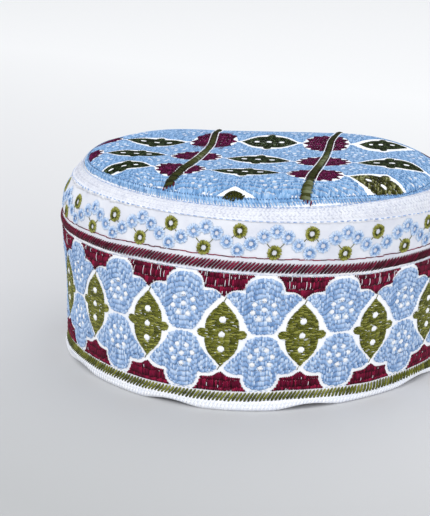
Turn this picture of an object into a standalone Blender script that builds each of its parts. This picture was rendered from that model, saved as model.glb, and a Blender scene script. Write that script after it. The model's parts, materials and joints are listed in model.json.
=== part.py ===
"""Embroidered prayer cap: a round, flat-topped cotton cap that stands on its rolled hem.

Two walls are sewn edge to edge, a tall lower band and a narrow upper band. A padded welt rolls
over their top edge, and a flat crown panel with two raised ribs closes the cap.
Units are metres, +Z is up, the cap stands on Z = 0, and its front faces -Y.
"""

import math
from collections import namedtuple

import bmesh
import bpy
from mathutils import Vector

MM = 0.001

# Plan of the cap, outside, at its widest
HALF_LENGTH = 94.8 * MM
HALF_WIDTH = 92.8 * MM
PLAN_CORNERS = 0.0173  # draws the front, back and sides out a little, as folding leaves them
TURN_STEPS = 72

# Heights up the side
HEM_TOP = 5.5 * MM
BAND_SEAM = 59.2 * MM
WELT_FOOT = 82.2 * MM
CROWN_SEAM = 89.2 * MM

# Reach from the axis, measured along +X
HEM_REACH = 94.3 * MM
LOWER_FOOT_REACH = 93.0 * MM
LOWER_TOP_REACH = 93.8 * MM
UPPER_FOOT_REACH = 94.1 * MM
UPPER_TOP_REACH = 93.7 * MM
CROWN_REACH = 86.9 * MM

# Cloth
BAND_WALL = 2.6 * MM
BAND_BELLY = 0.9 * MM
HEM_WALL = 4.4 * MM
WELT_BULGE = 1.3 * MM
WELT_PADDING = 0.5 * MM
CROWN_WALL = 2.6 * MM
SEAM_GAP = 0.3 * MM

# Crown panel: a rounded shoulder round a shallow dish, swollen across the back and sagging behind that
SHOULDER_RISE = 8.2 * MM
SHOULDER_POWER = 12.0
DISH_DEPTH = 2.6 * MM
DISH_REACH = 66.0 * MM
SWELL_RISE = 2.5 * MM
SWELL_LINE = 45.0 * MM
SWELL_SPREAD = 19.0 * MM
SAG_DEPTH = 3.9 * MM
SAG_REACH = 66.0 * MM
SAG_SPREAD = 15.0 * MM
SAG_MIDDLE = -10.0 * MM
SAG_WIDTH = 34.0 * MM
SAG_START = 20.0 * MM
SAG_FULL = 48.0 * MM

# Ribs across the crown
RIB_OFFSET = 29.5 * MM
RIB_HALF_SPAN = 75.0 * MM
RIB_WIDTH = 4.4 * MM
RIB_HEIGHT = 1.7 * MM
RIB_ROWS = 31
WELD_DISTANCE = 0.01 * MM

# The rim stands on flats and lifts between them in shallow waves
HEM_WAVES = 9
HEM_LIFT = 2.0 * MM
HEM_WAVE_START = math.radians(-68.5)

# The left side has gone slack: its welt has sunk in, and its wall is pushed in a little
SLACK_SIDE = math.radians(187)
SLACK_SPREAD = math.radians(38)
SLACK_IN = 4.0 * MM
SLACK_START = 72.0 * MM
SLACK_FULL = 86.0 * MM
SLACK_AT_CROWN = 0.2
SLACK_FADE = (87.0 * MM, 92.0 * MM)
DENT_DEPTH = 2.0 * MM
DENT_HEIGHT = 33.0 * MM
DENT_SPREAD = 20.0 * MM
# Behind the slack side the crown's edge stands up in a low hump
HUMP_SIDE = math.radians(162)
HUMP_SPREAD = math.radians(20)
HUMP_RISE = 3.4 * MM
HUMP_START = 79.0 * MM
HUMP_FULL = 89.0 * MM

# How the soft wall leans: at each height, the slope to the right and to the back, and the sideways shift
Lean = namedtuple("Lean", "height slope_x slope_y shift_x")
LEANS = (
    Lean(0.0 * MM, 0.0, 0.0, -0.9 * MM),
    Lean(7.2 * MM, -0.006, -0.006, -1.2 * MM),
    Lean(61.2 * MM, -0.043, -0.050, -1.4 * MM),
    Lean(82.2 * MM, -0.045, -0.058, 1.4 * MM),
    Lean(89.2 * MM, -0.020, -0.027, 2.6 * MM),
    Lean(93.3 * MM, -0.020, -0.050, 2.6 * MM),
)

Cloth = namedtuple("Cloth", "name colour roughness")
WHITE_COTTON = Cloth("white_cotton", (0.86, 0.87, 0.93), 0.85)
BLUE_STITCHED = Cloth("pale_blue_embroidery", (0.42, 0.60, 0.85), 0.75)
WINE_STITCHED = Cloth("wine_red_embroidery", (0.22, 0.01, 0.06), 0.7)
OLIVE_STITCHED = Cloth("olive_green_embroidery", (0.13, 0.16, 0.03), 0.7)


def clear_scene():
    for item in list(bpy.data.objects):
        bpy.data.objects.remove(item, do_unlink=True)


def cloth_material(cloth):
    material = bpy.data.materials.get(cloth.name)
    if material is None:
        material = bpy.data.materials.new(cloth.name)
        material.use_nodes = True
        shader = material.node_tree.nodes["Principled BSDF"]
        shader.inputs["Base Color"].default_value = (*cloth.colour, 1.0)
        shader.inputs["Roughness"].default_value = cloth.roughness
        shader.inputs["Metallic"].default_value = 0.0
    return material


def plan_scale(angle):
    """How much the plan reaches at this angle, as a share of its reach along +X."""
    mean = (HALF_LENGTH + HALF_WIDTH) / 2
    oval = (HALF_LENGTH - HALF_WIDTH) / 2 * math.cos(2 * angle)
    corners = (1.0 + PLAN_CORNERS * math.cos(4 * angle)) / (1.0 + PLAN_CORNERS)
    return (mean * corners + oval) / HALF_LENGTH


def lean_at(height):
    """The wall's slopes and shift at a height, blended between the rows of LEANS."""
    if height <= LEANS[0].height:
        return LEANS[0]
    for below, above in zip(LEANS, LEANS[1:]):
        if height <= above.height:
            share = (height - below.height) / (above.height - below.height)
            return Lean(*(a + (b - a) * share for a, b in zip(below, above)))
    return LEANS[-1]


def hem_lift(angle, height):
    """How far the rim's underside lifts off the ground, fading out up the hem."""
    wave = max(0.0, math.cos(HEM_WAVES * (angle - HEM_WAVE_START)))
    fade = max(0.0, 1.0 - height / HEM_TOP)
    return HEM_LIFT * wave**1.5 * fade


def eased(value, start, end):
    """A smooth step from 0 at start to 1 at end."""
    share = min(1.0, max(0.0, (value - start) / (end - start)))
    return share * share * (3.0 - 2.0 * share)


def bell(angle, middle, spread):
    """A smooth share that is 1 at an angle and fades away on both sides of it."""
    return math.exp(-((math.remainder(angle - middle, 2 * math.pi) / spread) ** 2))


def slack(reach, angle, height):
    """How far the slack left side brings a point in towards the axis, and up."""
    side = bell(angle, SLACK_SIDE, SLACK_SPREAD)
    near_edge = min(1.0, reach / CROWN_REACH) ** 12
    kept = SLACK_AT_CROWN + (1.0 - SLACK_AT_CROWN) * eased(reach, *SLACK_FADE)
    sunk = SLACK_IN * kept * near_edge * eased(height, SLACK_START, SLACK_FULL)
    dent = DENT_DEPTH * math.exp(-(((height - DENT_HEIGHT) / DENT_SPREAD) ** 2))
    hump = bell(angle, HUMP_SIDE, HUMP_SPREAD) * near_edge * eased(height, HUMP_START, HUMP_FULL)
    return side * (sunk + dent), HUMP_RISE * hump


def press(point):
    """Moves a point of the upright turned cap to where it lies on the oval, leaning cap."""
    angle = math.atan2(point.y, point.x)
    reach = max(MM, math.hypot(point.x, point.y))
    inward, up = slack(reach, angle, point.z)
    scale = plan_scale(angle) * (1.0 - inward / reach)
    lean = lean_at(point.z)
    x, y = point.x * scale, point.y * scale
    z = point.z + up + hem_lift(angle, point.z) + lean.slope_x * x + lean.slope_y * y
    return Vector((x + lean.shift_x, y, z))


def turned_piece(name, section, closed, cloth, collection, shape=press):
    """Turns a section of (reach, height) points round the axis, then presses it to the cap's shape."""
    mesh = bpy.data.meshes.new(name + "_section")
    points = [(reach, 0.0, height) for reach, height in section]
    edges = [(i, i + 1) for i in range(len(points) - 1)]
    if closed:
        edges.append((len(points) - 1, 0))
    mesh.from_pydata(points, edges, [])
    profile = bpy.data.objects.new(name + "_section", mesh)
    collection.objects.link(profile)

    screw = profile.modifiers.new("turn", "SCREW")
    screw.axis = "Z"
    screw.steps = TURN_STEPS
    screw.render_steps = TURN_STEPS
    screw.use_merge_vertices = True
    screw.merge_threshold = WELD_DISTANCE
    screw.use_normal_calculate = False

    bpy.context.view_layer.update()
    evaluated = profile.evaluated_get(bpy.context.evaluated_depsgraph_get())
    body = bpy.data.meshes.new_from_object(evaluated)
    body.name = name
    for vertex in body.vertices:
        vertex.co = shape(vertex.co)
    body.shade_smooth()
    body.set_sharp_from_angle(angle=math.radians(50))
    body.materials.append(cloth_material(cloth))
    piece = bpy.data.objects.new(name, body)
    collection.objects.link(piece)
    bpy.data.objects.remove(profile, do_unlink=True)
    return piece


def wall_section(outer, thickness):
    """A closed section from the outer face's points, top to bottom, and the same points moved inwards."""
    inner = [(reach - thickness, height) for reach, height in reversed(outer)]
    return outer + inner


def lower_band(collection):
    foot = HEM_TOP + SEAM_GAP
    top = BAND_SEAM - SEAM_GAP / 2
    rows = 7
    outer = []
    for i in range(rows):
        share = 1.0 - i / (rows - 1)
        reach = LOWER_FOOT_REACH + (LOWER_TOP_REACH - LOWER_FOOT_REACH) * share
        reach += BAND_BELLY * math.sin(math.pi * share)
        outer.append((reach, foot + (top - foot) * share))
    return turned_piece("lower_band", wall_section(outer, BAND_WALL), True, WINE_STITCHED, collection)


def upper_band(collection):
    foot = BAND_SEAM + SEAM_GAP / 2
    top = WELT_FOOT - SEAM_GAP
    rows = 5
    outer = []
    for i in range(rows):
        share = 1.0 - i / (rows - 1)
        reach = UPPER_FOOT_REACH + (UPPER_TOP_REACH - UPPER_FOOT_REACH) * share**2
        outer.append((reach, foot + (top - foot) * share))
    return turned_piece("upper_band", wall_section(outer, BAND_WALL), True, WHITE_COTTON, collection)


def hem_roll(collection):
    """The rolled hem: flat underneath, round outside, with the lower band standing on it."""
    inner_reach = HEM_REACH - HEM_WALL
    section = [
        (LOWER_FOOT_REACH + 0.2 * MM, HEM_TOP),
        (HEM_REACH - 0.4 * MM, HEM_TOP * 0.80),
        (HEM_REACH, HEM_TOP * 0.50),
        (HEM_REACH - 0.4 * MM, HEM_TOP * 0.20),
        (HEM_REACH - 1.2 * MM, 0.0),
        (inner_reach + 0.8 * MM, 0.0),
        (inner_reach, HEM_TOP * 0.25),
        (inner_reach, HEM_TOP * 0.80),
        (inner_reach + 0.5 * MM, HEM_TOP),
    ]
    return turned_piece("hem_roll", section, True, WHITE_COTTON, collection)


def crown_welt(collection):
    """The padded welt: it stands on the upper band and slopes in to meet the crown's edge."""
    outer_foot = Vector((UPPER_TOP_REACH, WELT_FOOT))
    outer_head = Vector((CROWN_REACH + SEAM_GAP, CROWN_SEAM))
    inner_foot = outer_foot - Vector((BAND_WALL, 0.0))
    inner_head = outer_head - Vector((0.0, CROWN_WALL))
    slope = (outer_head - outer_foot).normalized()
    outward = Vector((slope.y, -slope.x))
    rows = 5
    outer, inner = [], []
    for i in range(rows):
        share = 1.0 - i / (rows - 1)
        bulge = math.sin(math.pi * share)
        outer.append(tuple(outer_foot.lerp(outer_head, share) + outward * WELT_BULGE * bulge))
        inner.append(tuple(inner_foot.lerp(inner_head, share) - outward * WELT_PADDING * bulge))
    return turned_piece("crown_welt", outer + inner[::-1], True, WHITE_COTTON, collection)


def crown_height(reach):
    """Height of the crown's upper face: a flat dish with a shoulder that falls to the seam."""
    shoulder = SHOULDER_RISE * (1.0 - min(1.0, reach / CROWN_REACH) ** SHOULDER_POWER)
    dish = DISH_DEPTH * max(0.0, 1.0 - (reach / DISH_REACH) ** 2)
    return CROWN_SEAM + shoulder - dish


def crown_swell(reach, x, y):
    """How much the crown's cloth swells up along a line across its back, less its sag behind that."""
    edge = min(1.0, reach / CROWN_REACH)
    ridge = math.exp(-(((y - SWELL_LINE) / SWELL_SPREAD) ** 2)) * (1.0 - edge**6)
    behind = eased(y, SAG_START, SAG_FULL)
    across = math.exp(-(((x - SAG_MIDDLE) / SAG_WIDTH) ** 2))
    sag = behind * across * math.exp(-(((reach - SAG_REACH) / SAG_SPREAD) ** 2)) * (1.0 - edge**16)
    return SWELL_RISE * ridge - SAG_DEPTH * sag


def press_crown(point):
    """Presses a point of the turned crown, with the swell and the sag at its back."""
    reach = math.hypot(point.x, point.y)
    scale = plan_scale(math.atan2(point.y, point.x))
    pressed = press(point)
    pressed.z += crown_swell(reach, point.x * scale, point.y * scale)
    return pressed


def crown_panel(collection):
    reach_shares = (0.0, 0.2, 0.36, 0.48, 0.58, 0.68, 0.76, 0.83, 0.89, 0.93, 0.96, 0.985, 1.0)
    upper = [(CROWN_REACH * s, crown_height(CROWN_REACH * s)) for s in reach_shares]
    under = [(reach, height - CROWN_WALL) for reach, height in reversed(upper)]
    section = upper + under
    return turned_piece("crown_panel", section, False, BLUE_STITCHED, collection, press_crown)


def crown_point(x, y, lift):
    """A point at a lift above the crown's upper face, over (x, y) of the upright cap's plan."""
    reach = math.hypot(x, y) / plan_scale(math.atan2(y, x))
    lean = lean_at(crown_height(reach))
    z = crown_height(reach) + crown_swell(reach, x, y) + lift
    return (x + lean.shift_x, y, z + lean.slope_x * x + lean.slope_y * y)


def straight_cord(name, collection):
    """A round cord along Y with closed, slightly drawn-in ends, as a welded mesh."""
    curve = bpy.data.curves.new(name + "_cord", "CURVE")
    curve.dimensions = "3D"
    curve.bevel_depth = RIB_WIDTH / 2
    curve.bevel_resolution = 2
    curve.use_fill_caps = True
    spline = curve.splines.new("POLY")
    spline.points.add(RIB_ROWS - 1)
    for row, point in enumerate(spline.points):
        share = 2.0 * row / (RIB_ROWS - 1) - 1.0
        point.co = (0.0, RIB_HALF_SPAN * share, 0.0, 1.0)
        point.radius = 1.0 - 0.4 * abs(share) ** 14
    cord = bpy.data.objects.new(name + "_cord", curve)
    collection.objects.link(cord)

    bpy.context.view_layer.update()
    evaluated = cord.evaluated_get(bpy.context.evaluated_depsgraph_get())
    mesh = bpy.data.meshes.new_from_object(evaluated)
    mesh.name = name
    bpy.data.objects.remove(cord, do_unlink=True)
    shell = bmesh.new()
    shell.from_mesh(mesh)
    bmesh.ops.remove_doubles(shell, verts=shell.verts, dist=WELD_DISTANCE)
    bmesh.ops.recalc_face_normals(shell, faces=shell.faces)
    shell.to_mesh(mesh)
    shell.free()
    return mesh


def crown_rib(name, offset, collection):
    """A padded satin ridge: a cord squashed to an oval and laid along the crown."""
    mesh = straight_cord(name, collection)
    for vertex in mesh.vertices:
        x, y, z = vertex.co
        lift = SEAM_GAP + RIB_HEIGHT * (0.5 + z / RIB_WIDTH)
        vertex.co = crown_point(offset + x, y, lift)
    mesh.shade_smooth()
    mesh.set_sharp_from_angle(angle=math.radians(50))
    mesh.materials.append(cloth_material(OLIVE_STITCHED))
    rib = bpy.data.objects.new(name, mesh)
    collection.objects.link(rib)
    return rib


def build_cap():
    clear_scene()
    collection = bpy.data.collections.new("prayer_cap")
    bpy.context.scene.collection.children.link(collection)
    hem_roll(collection)
    lower_band(collection)
    upper_band(collection)
    crown_welt(collection)
    crown_panel(collection)
    crown_rib("crown_rib_left", -RIB_OFFSET, collection)
    crown_rib("crown_rib_right", RIB_OFFSET, collection)


build_cap()
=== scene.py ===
# %% [markdown]
# # An embroidered prayer cap
# The cap is a stiff drum of white cotton, covered with coloured stitching. Its parts, from the
# ground up, are a rolled hem, a tall side band, a narrow side band, a padded welt, and a crown with
# two raised ribs. The plain cloth is modelled first. Then one stitch is modelled, and thousands of
# copies of it are laid on the cloth, motif by motif, as an embroidery machine does it.

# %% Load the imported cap
import json
import math

import bpy
import numpy as np
from mathutils import Matrix, Vector

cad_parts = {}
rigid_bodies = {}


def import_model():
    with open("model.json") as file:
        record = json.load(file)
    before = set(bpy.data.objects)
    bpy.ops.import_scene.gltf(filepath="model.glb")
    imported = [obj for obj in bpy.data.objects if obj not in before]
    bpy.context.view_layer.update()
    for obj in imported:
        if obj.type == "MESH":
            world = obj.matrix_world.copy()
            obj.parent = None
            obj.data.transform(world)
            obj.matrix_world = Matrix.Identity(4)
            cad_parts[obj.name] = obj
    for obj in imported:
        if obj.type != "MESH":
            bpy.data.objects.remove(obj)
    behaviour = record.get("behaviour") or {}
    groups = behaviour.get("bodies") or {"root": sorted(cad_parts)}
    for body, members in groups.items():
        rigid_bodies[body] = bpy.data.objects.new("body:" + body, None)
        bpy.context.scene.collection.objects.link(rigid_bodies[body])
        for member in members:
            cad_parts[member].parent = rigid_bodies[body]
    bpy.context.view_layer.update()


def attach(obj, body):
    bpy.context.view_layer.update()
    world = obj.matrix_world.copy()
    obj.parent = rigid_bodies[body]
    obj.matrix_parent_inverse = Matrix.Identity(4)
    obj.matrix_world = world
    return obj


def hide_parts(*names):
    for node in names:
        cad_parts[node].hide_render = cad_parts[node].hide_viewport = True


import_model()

MM = 0.001

# %% [markdown]
# ## The shape that everything lies on
# A folded cap keeps a plan that is nearly round, drawn out a little at the front, back and sides.
# Its soft wall leans a few millimetres to the right and to the back. Every piece is first thought
# of on an upright, round cap, and then pressed to this shape, so cloth and stitches always meet.
# All lengths here are in millimetres.

# %% The cap's own measures
HALF_LENGTH = 94.8
HALF_WIDTH = 92.8
PLAN_CORNERS = 0.0173
HEM_TOP = 5.5
LOWER_FOOT = 5.8
LOWER_TOP = 59.05
BAND_SEAM = 59.2
UPPER_FOOT = 59.35
UPPER_TOP = 81.9
WELT_FOOT = 82.2
CROWN_SEAM = 89.2
CROWN_REACH = 86.9
SEAM_GAP = 0.3
WALL = 2.6
LEAN_HEIGHTS = (0.0, 7.2, 61.2, 82.2, 89.2, 93.3)
LEAN_RIGHT = (0.0, -0.006, -0.043, -0.045, -0.020, -0.020)
LEAN_BACK = (0.0, -0.006, -0.050, -0.058, -0.027, -0.050)
LEAN_SHIFT = (-0.9, -1.2, -1.4, 1.4, 2.6, 2.6)
HEM_WAVES = 9
HEM_LIFT = 2.0
HEM_WAVE_START = math.radians(-68.5)
SLACK_SIDE = math.radians(187)
SLACK_SPREAD = math.radians(38)
SLACK_SUNK = 4.0
SLACK_DENT = 2.0
DENT_HEIGHT = 33.0
HUMP_SIDE = math.radians(162)
HUMP_SPREAD = math.radians(20)
HUMP_RISE = 3.4


def plan_scale(angle):
    """How far the plan reaches at an angle, as a share of its reach along +X."""
    mean = (HALF_LENGTH + HALF_WIDTH) / 2
    oval = (HALF_LENGTH - HALF_WIDTH) / 2 * np.cos(2 * angle)
    corners = (1.0 + PLAN_CORNERS * np.cos(4 * angle)) / (1.0 + PLAN_CORNERS)
    return (mean * corners + oval) / HALF_LENGTH


def eased(value, start, end):
    """A smooth step from 0 at start to 1 at end."""
    share = np.clip((value - start) / (end - start), 0.0, 1.0)
    return share * share * (3.0 - 2.0 * share)


def bell(angle, middle, spread):
    """A smooth share that is 1 at an angle and fades away on both sides of it."""
    turned = np.mod(angle - middle + math.pi, 2 * math.pi) - math.pi
    return np.exp(-((turned / spread) ** 2))


def slack(reach, angle, height):
    """How far the slack left side brings a point in towards the axis, and up."""
    near_edge = np.minimum(1.0, reach / CROWN_REACH) ** 12
    welt_share = 0.2 + 0.8 * eased(reach, 87.0, 92.0)
    sunk = SLACK_SUNK * welt_share * near_edge * eased(height, 72.0, 86.0)
    dent = SLACK_DENT * np.exp(-(((height - DENT_HEIGHT) / 20.0) ** 2))
    hump = HUMP_RISE * bell(angle, HUMP_SIDE, HUMP_SPREAD) * near_edge * eased(height, 79.0, 89.0)
    return bell(angle, SLACK_SIDE, SLACK_SPREAD) * (sunk + dent), hump


def press(x, y, z):
    """Moves points of the upright, round cap to where they lie on the leaning one."""
    angle = np.arctan2(y, x)
    reach = np.maximum(1.0, np.hypot(x, y))
    inward, up = slack(reach, angle, z)
    scale = plan_scale(angle) * (1.0 - inward / reach)
    right = np.interp(z, LEAN_HEIGHTS, LEAN_RIGHT)
    back = np.interp(z, LEAN_HEIGHTS, LEAN_BACK)
    shift = np.interp(z, LEAN_HEIGHTS, LEAN_SHIFT)
    wave = np.maximum(0.0, np.cos(HEM_WAVES * (angle - HEM_WAVE_START))) ** 1.5
    lift = HEM_LIFT * wave * np.maximum(0.0, 1.0 - z / HEM_TOP)
    flat_x, flat_y = x * scale, y * scale
    level = z + up + lift + right * flat_x + back * flat_y
    return np.stack([flat_x + shift, flat_y, level], axis=-1)


# %% Distance along the girth
turn = np.linspace(0.0, 2 * math.pi, 1441)
rim = np.stack([np.cos(turn), np.sin(turn)], axis=-1) * (HALF_LENGTH * plan_scale(turn))[:, None]
along_rim = np.concatenate([[0.0], np.cumsum(np.hypot(*np.diff(rim, axis=0).T))])
GIRTH = along_rim[-1]


def angle_at(along):
    """The angle of a point that lies this far round the girth, counted from +X."""
    return np.interp(np.mod(along, GIRTH), along_rim, turn)


print("girth", round(GIRTH, 1), "mm")

# %% [markdown]
# ## Height to reach
# Seen from the side, the lower band bellies out a little and the upper band is nearly straight.
# The welt rolls inwards to the crown. One function for each gives the surface that stitches lie on.


# %% The wall, the welt and the crown as surfaces
def wall_reach(height):
    """Reach of the outer face of the hem and the two bands at a height."""
    hem = 93.1 + 1.3 * np.sqrt(np.maximum(0.0, 1.0 - (2.0 * height / HEM_TOP - 1.0) ** 2))
    low_share = np.clip((height - LOWER_FOOT) / (LOWER_TOP - LOWER_FOOT), 0.0, 1.0)
    lower = 93.0 + 0.8 * low_share + 0.9 * np.sin(math.pi * low_share)
    high_share = np.clip((height - UPPER_FOOT) / (UPPER_TOP - UPPER_FOOT), 0.0, 1.0)
    upper = 94.1 - 0.4 * high_share**2
    return np.where(height < HEM_TOP, hem, np.where(height < BAND_SEAM, lower, upper))


def on_rings(along, height, lift):
    """A point on the hem or the bands, by its distance round the girth and its height."""
    angle = angle_at(along)
    reach = wall_reach(height) + lift
    return press(reach * np.cos(angle), reach * np.sin(angle), height)


# Hand sewing strays up and down from true rings. Each row is a height, and how far the stitches
# near it stray at the distances round the girth in WANDER_ALONG
WANDER_ALONG = (300, 330, 350, 372, 392, 430, 460, 485, 502, 520, 545)
WANDER = (
    (5.0, (0, -0.4, -0.6, -0.8, -0.9, -0.6, 0, -1.0, -2.0, -1.5, -1.5)),
    (33.0, (0, 0, 0, -0.2, -0.5, -0.3, -0.4, -0.9, -1.5, -0.8, 0)),
    (61.0, (0, -1.2, -1.1, -1.0, 0.2, 0.5, -0.1, -1.1, -1.4, -0.8, 0)),
    (77.0, (0, -3.3, -2.9, -2.4, -0.4, -0.2, -0.5, -1.4, -1.6, -1.0, -0.8)),
    (81.4, (0, -2.9, -2.5, -2.1, -0.4, -0.2, -0.5, -1.2, -1.4, -0.9, -0.7)),
    (82.0, (0, 0, 0, 0, 0, 0, 0, 0, 0, 0, 0)),
)


# Its motifs also stray along the girth: how far they do at DRIFT_ALONG on the two bands
DRIFT_ALONG = (320, 340, 356, 372, 390, 405, 422, 437, 453, 469, 486, 502, 520, 545)
DRIFT_LOWER = (0, 0.2, -1.2, -1.0, -0.5, -0.2, -0.1, -0.1, -0.5, -0.9, -0.9, -0.9, -1.1, 0)
DRIFT_UPPER = (0, -1.7, 0.3, -0.3, 1.4, 0.6, 1.4, 0, 0, -0.6, 0.6, 0.3, 2.3, 0)


def on_wall(along, height, lift):
    """A point on the bands as the stitches lie, which stray from the true rings."""
    place = np.mod(along, GIRTH)
    low_drift = np.interp(place, DRIFT_ALONG, DRIFT_LOWER)
    high_drift = np.interp(place, DRIFT_ALONG, DRIFT_UPPER)
    along = along + low_drift + (high_drift - low_drift) * eased(height, 50.0, 66.0)
    stray = np.interp(place, WANDER_ALONG, WANDER[0][1])
    for (low, row), (high, next_row) in zip(WANDER, WANDER[1:]):
        share = np.clip((height - low) / (high - low), 0.0, 1.0)
        stray = stray + share * np.interp(place, WANDER_ALONG, np.subtract(next_row, row))
    return on_rings(along, height + stray, lift)


WELT_START = np.array([93.7, WELT_FOOT])
WELT_END = np.array([CROWN_REACH + SEAM_GAP, CROWN_SEAM])
WELT_OUT = np.array([7.0, 6.5]) / math.hypot(7.0, 6.5)


def welt_section(share):
    """(reach, height) of the welt's face, from its foot at 0 to the crown's seam at 1."""
    share = np.asarray(share, dtype=float)[..., None]
    swell = 1.5 * np.sin(math.pi * np.clip(share, 0.0, 1.0)) ** 0.7
    return WELT_START + (WELT_END - WELT_START) * share + WELT_OUT * swell


WELT_RISE = 9.6


def on_welt(along, up, lift):
    """A point on the padded welt, this far up its face from its foot."""
    angle = angle_at(along)
    point = welt_section(up / WELT_RISE) + WELT_OUT * np.asarray(lift)[..., None]
    return press(point[..., 0] * np.cos(angle), point[..., 0] * np.sin(angle), point[..., 1])


CROWN_SHIFT = LEAN_SHIFT[-1]
SHOULDER_RISE = 8.2
DISH_DEPTH = 2.6
DISH_REACH = 66.0


def crown_height(reach):
    """Height of the crown's face: a shallow dish with a rounded shoulder."""
    shoulder = SHOULDER_RISE * (1.0 - np.minimum(1.0, reach / CROWN_REACH) ** 12)
    dish = DISH_DEPTH * np.maximum(0.0, 1.0 - (reach / DISH_REACH) ** 2)
    return CROWN_SEAM + shoulder - dish


SWELL_RISE = 2.5
SAG_DEPTH = 3.9


def crown_swell(reach, x, y):
    """The low swell across the crown's back, less the sag behind it."""
    edge = np.minimum(1.0, reach / CROWN_REACH)
    ridge = SWELL_RISE * np.exp(-(((y - 45.0) / 19.0) ** 2)) * (1.0 - edge**6)
    sag = np.exp(-(((x + 10.0) / 34.0) ** 2)) * np.exp(-(((reach - 66.0) / 15.0) ** 2))
    return ridge - SAG_DEPTH * eased(y, 20.0, 48.0) * sag * (1.0 - edge**16)


def crown_face(x, y):
    """The crown's face over (x, y), before the slack left side comes in."""
    reach = np.hypot(x, y) / plan_scale(np.arctan2(y, x))
    height = crown_height(reach)
    right = np.interp(height, LEAN_HEIGHTS, LEAN_RIGHT)
    back = np.interp(height, LEAN_HEIGHTS, LEAN_BACK)
    return height + crown_swell(reach, x, y) + right * x + back * y


def on_crown(x, y, lift):
    """A point on the crown, lifted along its face's own normal."""
    step = 0.2
    slope_x = (crown_face(x + step, y) - crown_face(x - step, y)) / (2 * step)
    slope_y = (crown_face(x, y + step) - crown_face(x, y - step)) / (2 * step)
    steep = np.sqrt(1.0 + slope_x**2 + slope_y**2)
    angle = np.arctan2(y, x)
    reach = np.maximum(1.0, np.hypot(x, y) / plan_scale(angle))
    inward, up = slack(reach, angle, crown_height(reach))
    kept = 1.0 - inward / reach
    place_x = x * kept - lift * slope_x / steep + CROWN_SHIFT
    place_y = y * kept - lift * slope_y / steep
    return np.stack([place_x, place_y, crown_face(x, y) + up + lift / steep], axis=-1)


print("crown middle", on_crown(np.zeros(1), np.zeros(1), np.zeros(1)).round(1))

# %% [markdown]
# ## Finishes
# Cotton thread has no gloss of its own: it scatters light between its fibres, so its roughness is
# high and a little sheen brightens it at grazing angles. Each stitch carries a number from 0 to 1,
# its shade, because no two stitches catch the light or the dye alike. Along each stitch the shade
# is also painted: darker at its start and lighter towards its end, as on overlapping tiers. The
# cloth under the stitches is a plain weave, and its threads run round the cap and up it, so the
# weave reads the UV map.


# %% Colours and nodes
def linear(code):
    """A colour given as sRGB hex, turned to the linear values that shaders want."""
    levels = [int(code[i : i + 2], 16) / 255 for i in (1, 3, 5)]
    return [c / 12.92 if c <= 0.04045 else ((c + 0.055) / 1.055) ** 2.4 for c in levels] + [1.0]


def node(material, kind, links=(), **settings):
    """Adds a node; settings are its properties or inputs, links are (input, socket) pairs."""
    made = material.node_tree.nodes.new(kind)
    for key, value in settings.items():
        if hasattr(made, key):
            setattr(made, key, value)
        else:
            made.inputs[key.replace("_", " ")].default_value = value
    for key, socket in links:
        material.node_tree.links.new(made.inputs[key], socket)
    return made


def ramp(material, source, *stops):
    """A colour ramp through (place, hex) stops."""
    made = node(material, "ShaderNodeValToRGB", [("Fac", source)])
    ends = made.color_ramp.elements
    while len(ends) < len(stops):
        ends.new(0.5)
    for end, (place, code) in zip(ends, stops):
        end.position = place
        end.color = linear(code)
    return made.outputs["Color"]


def new_material(name, roughness, sheen, specular=0.3):
    """A dielectric with the roughness and sheen of cotton."""
    material = bpy.data.materials.new(name)
    material.use_nodes = True
    shader = material.node_tree.nodes["Principled BSDF"]
    shader.inputs["Roughness"].default_value = roughness
    shader.inputs["IOR"].default_value = 1.5
    shader.inputs["Specular IOR Level"].default_value = specular
    shader.inputs["Sheen Weight"].default_value = sheen
    shader.inputs["Sheen Roughness"].default_value = 0.5
    return material, shader


# %% Cotton thread
def thread_material(name, dark, middle, light, roughness=0.6, sheen=0.15, specular=0.2):
    """Mercerised embroidery cotton: twisted plies, and a colour that differs between stitches."""
    material, shader = new_material(name, roughness, sheen, specular)
    shade = node(material, "ShaderNodeAttribute", attribute_name="shade").outputs["Fac"]
    colour = ramp(material, shade, (0.0, dark), (0.5, middle), (1.0, light))
    material.node_tree.links.new(shader.inputs["Base Color"], colour)
    # Plies of 0.15 mm are too fine to show, so three of them lie round each stitch
    uv = node(material, "ShaderNodeUVMap", uv_map="thread").outputs["UV"]
    turned = node(material, "ShaderNodeMapping", [("Vector", uv)], Scale=(0.35, 3.0, 1.0))
    plies = node(
        material,
        "ShaderNodeTexWave",
        [("Vector", turned.outputs["Vector"])],
        wave_type="BANDS",
        bands_direction="DIAGONAL",
        Scale=0.5,
        Distortion=0.6,
    )
    bump = node(
        material,
        "ShaderNodeBump",
        [("Height", plies.outputs["Fac"])],
        Strength=0.35,
        Distance=0.15 * MM,
    )
    material.node_tree.links.new(shader.inputs["Normal"], bump.outputs["Normal"])
    return material


# Each thread has a dark, a middle and a light colour, and then its roughness, sheen and specular.
# The dark threads are a little duller, because a sheen would turn them grey
BLUE_THREAD = thread_material("mercerised_cotton_pale_blue", "#5E84B6", "#9AB8DF", "#D6E4F5")
SKY_THREAD = thread_material("mercerised_cotton_sky_blue", "#4C7DB0", "#82ADD9", "#B4D0EC")
INK_THREAD = thread_material("mercerised_cotton_cornflower", "#7490C4", "#94B2DE", "#B8CEF0")
SLATE_MARKS_AND_SHADE = thread_material("slate_blue_marks_and_hole_shade", "#1F2F4C", "#33507C", "#5F80AC")
WHITE_THREAD = thread_material("mercerised_cotton_white", "#E6EBFA", "#F6F9FF", "#FFFFFF")
PALE_THREAD = thread_material("mercerised_cotton_off_white", "#CCD0DE", "#E6E8F0", "#F7F8FA")
DULL = (0.8, 0.0, 0.05)
MATT = (0.7, 0.0, 0.1)
WINE_THREAD = thread_material(
    "mercerised_cotton_wine", "#2C000C", "#64042A", "#98163F", 0.5, 0.0, 0.15
)
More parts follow.
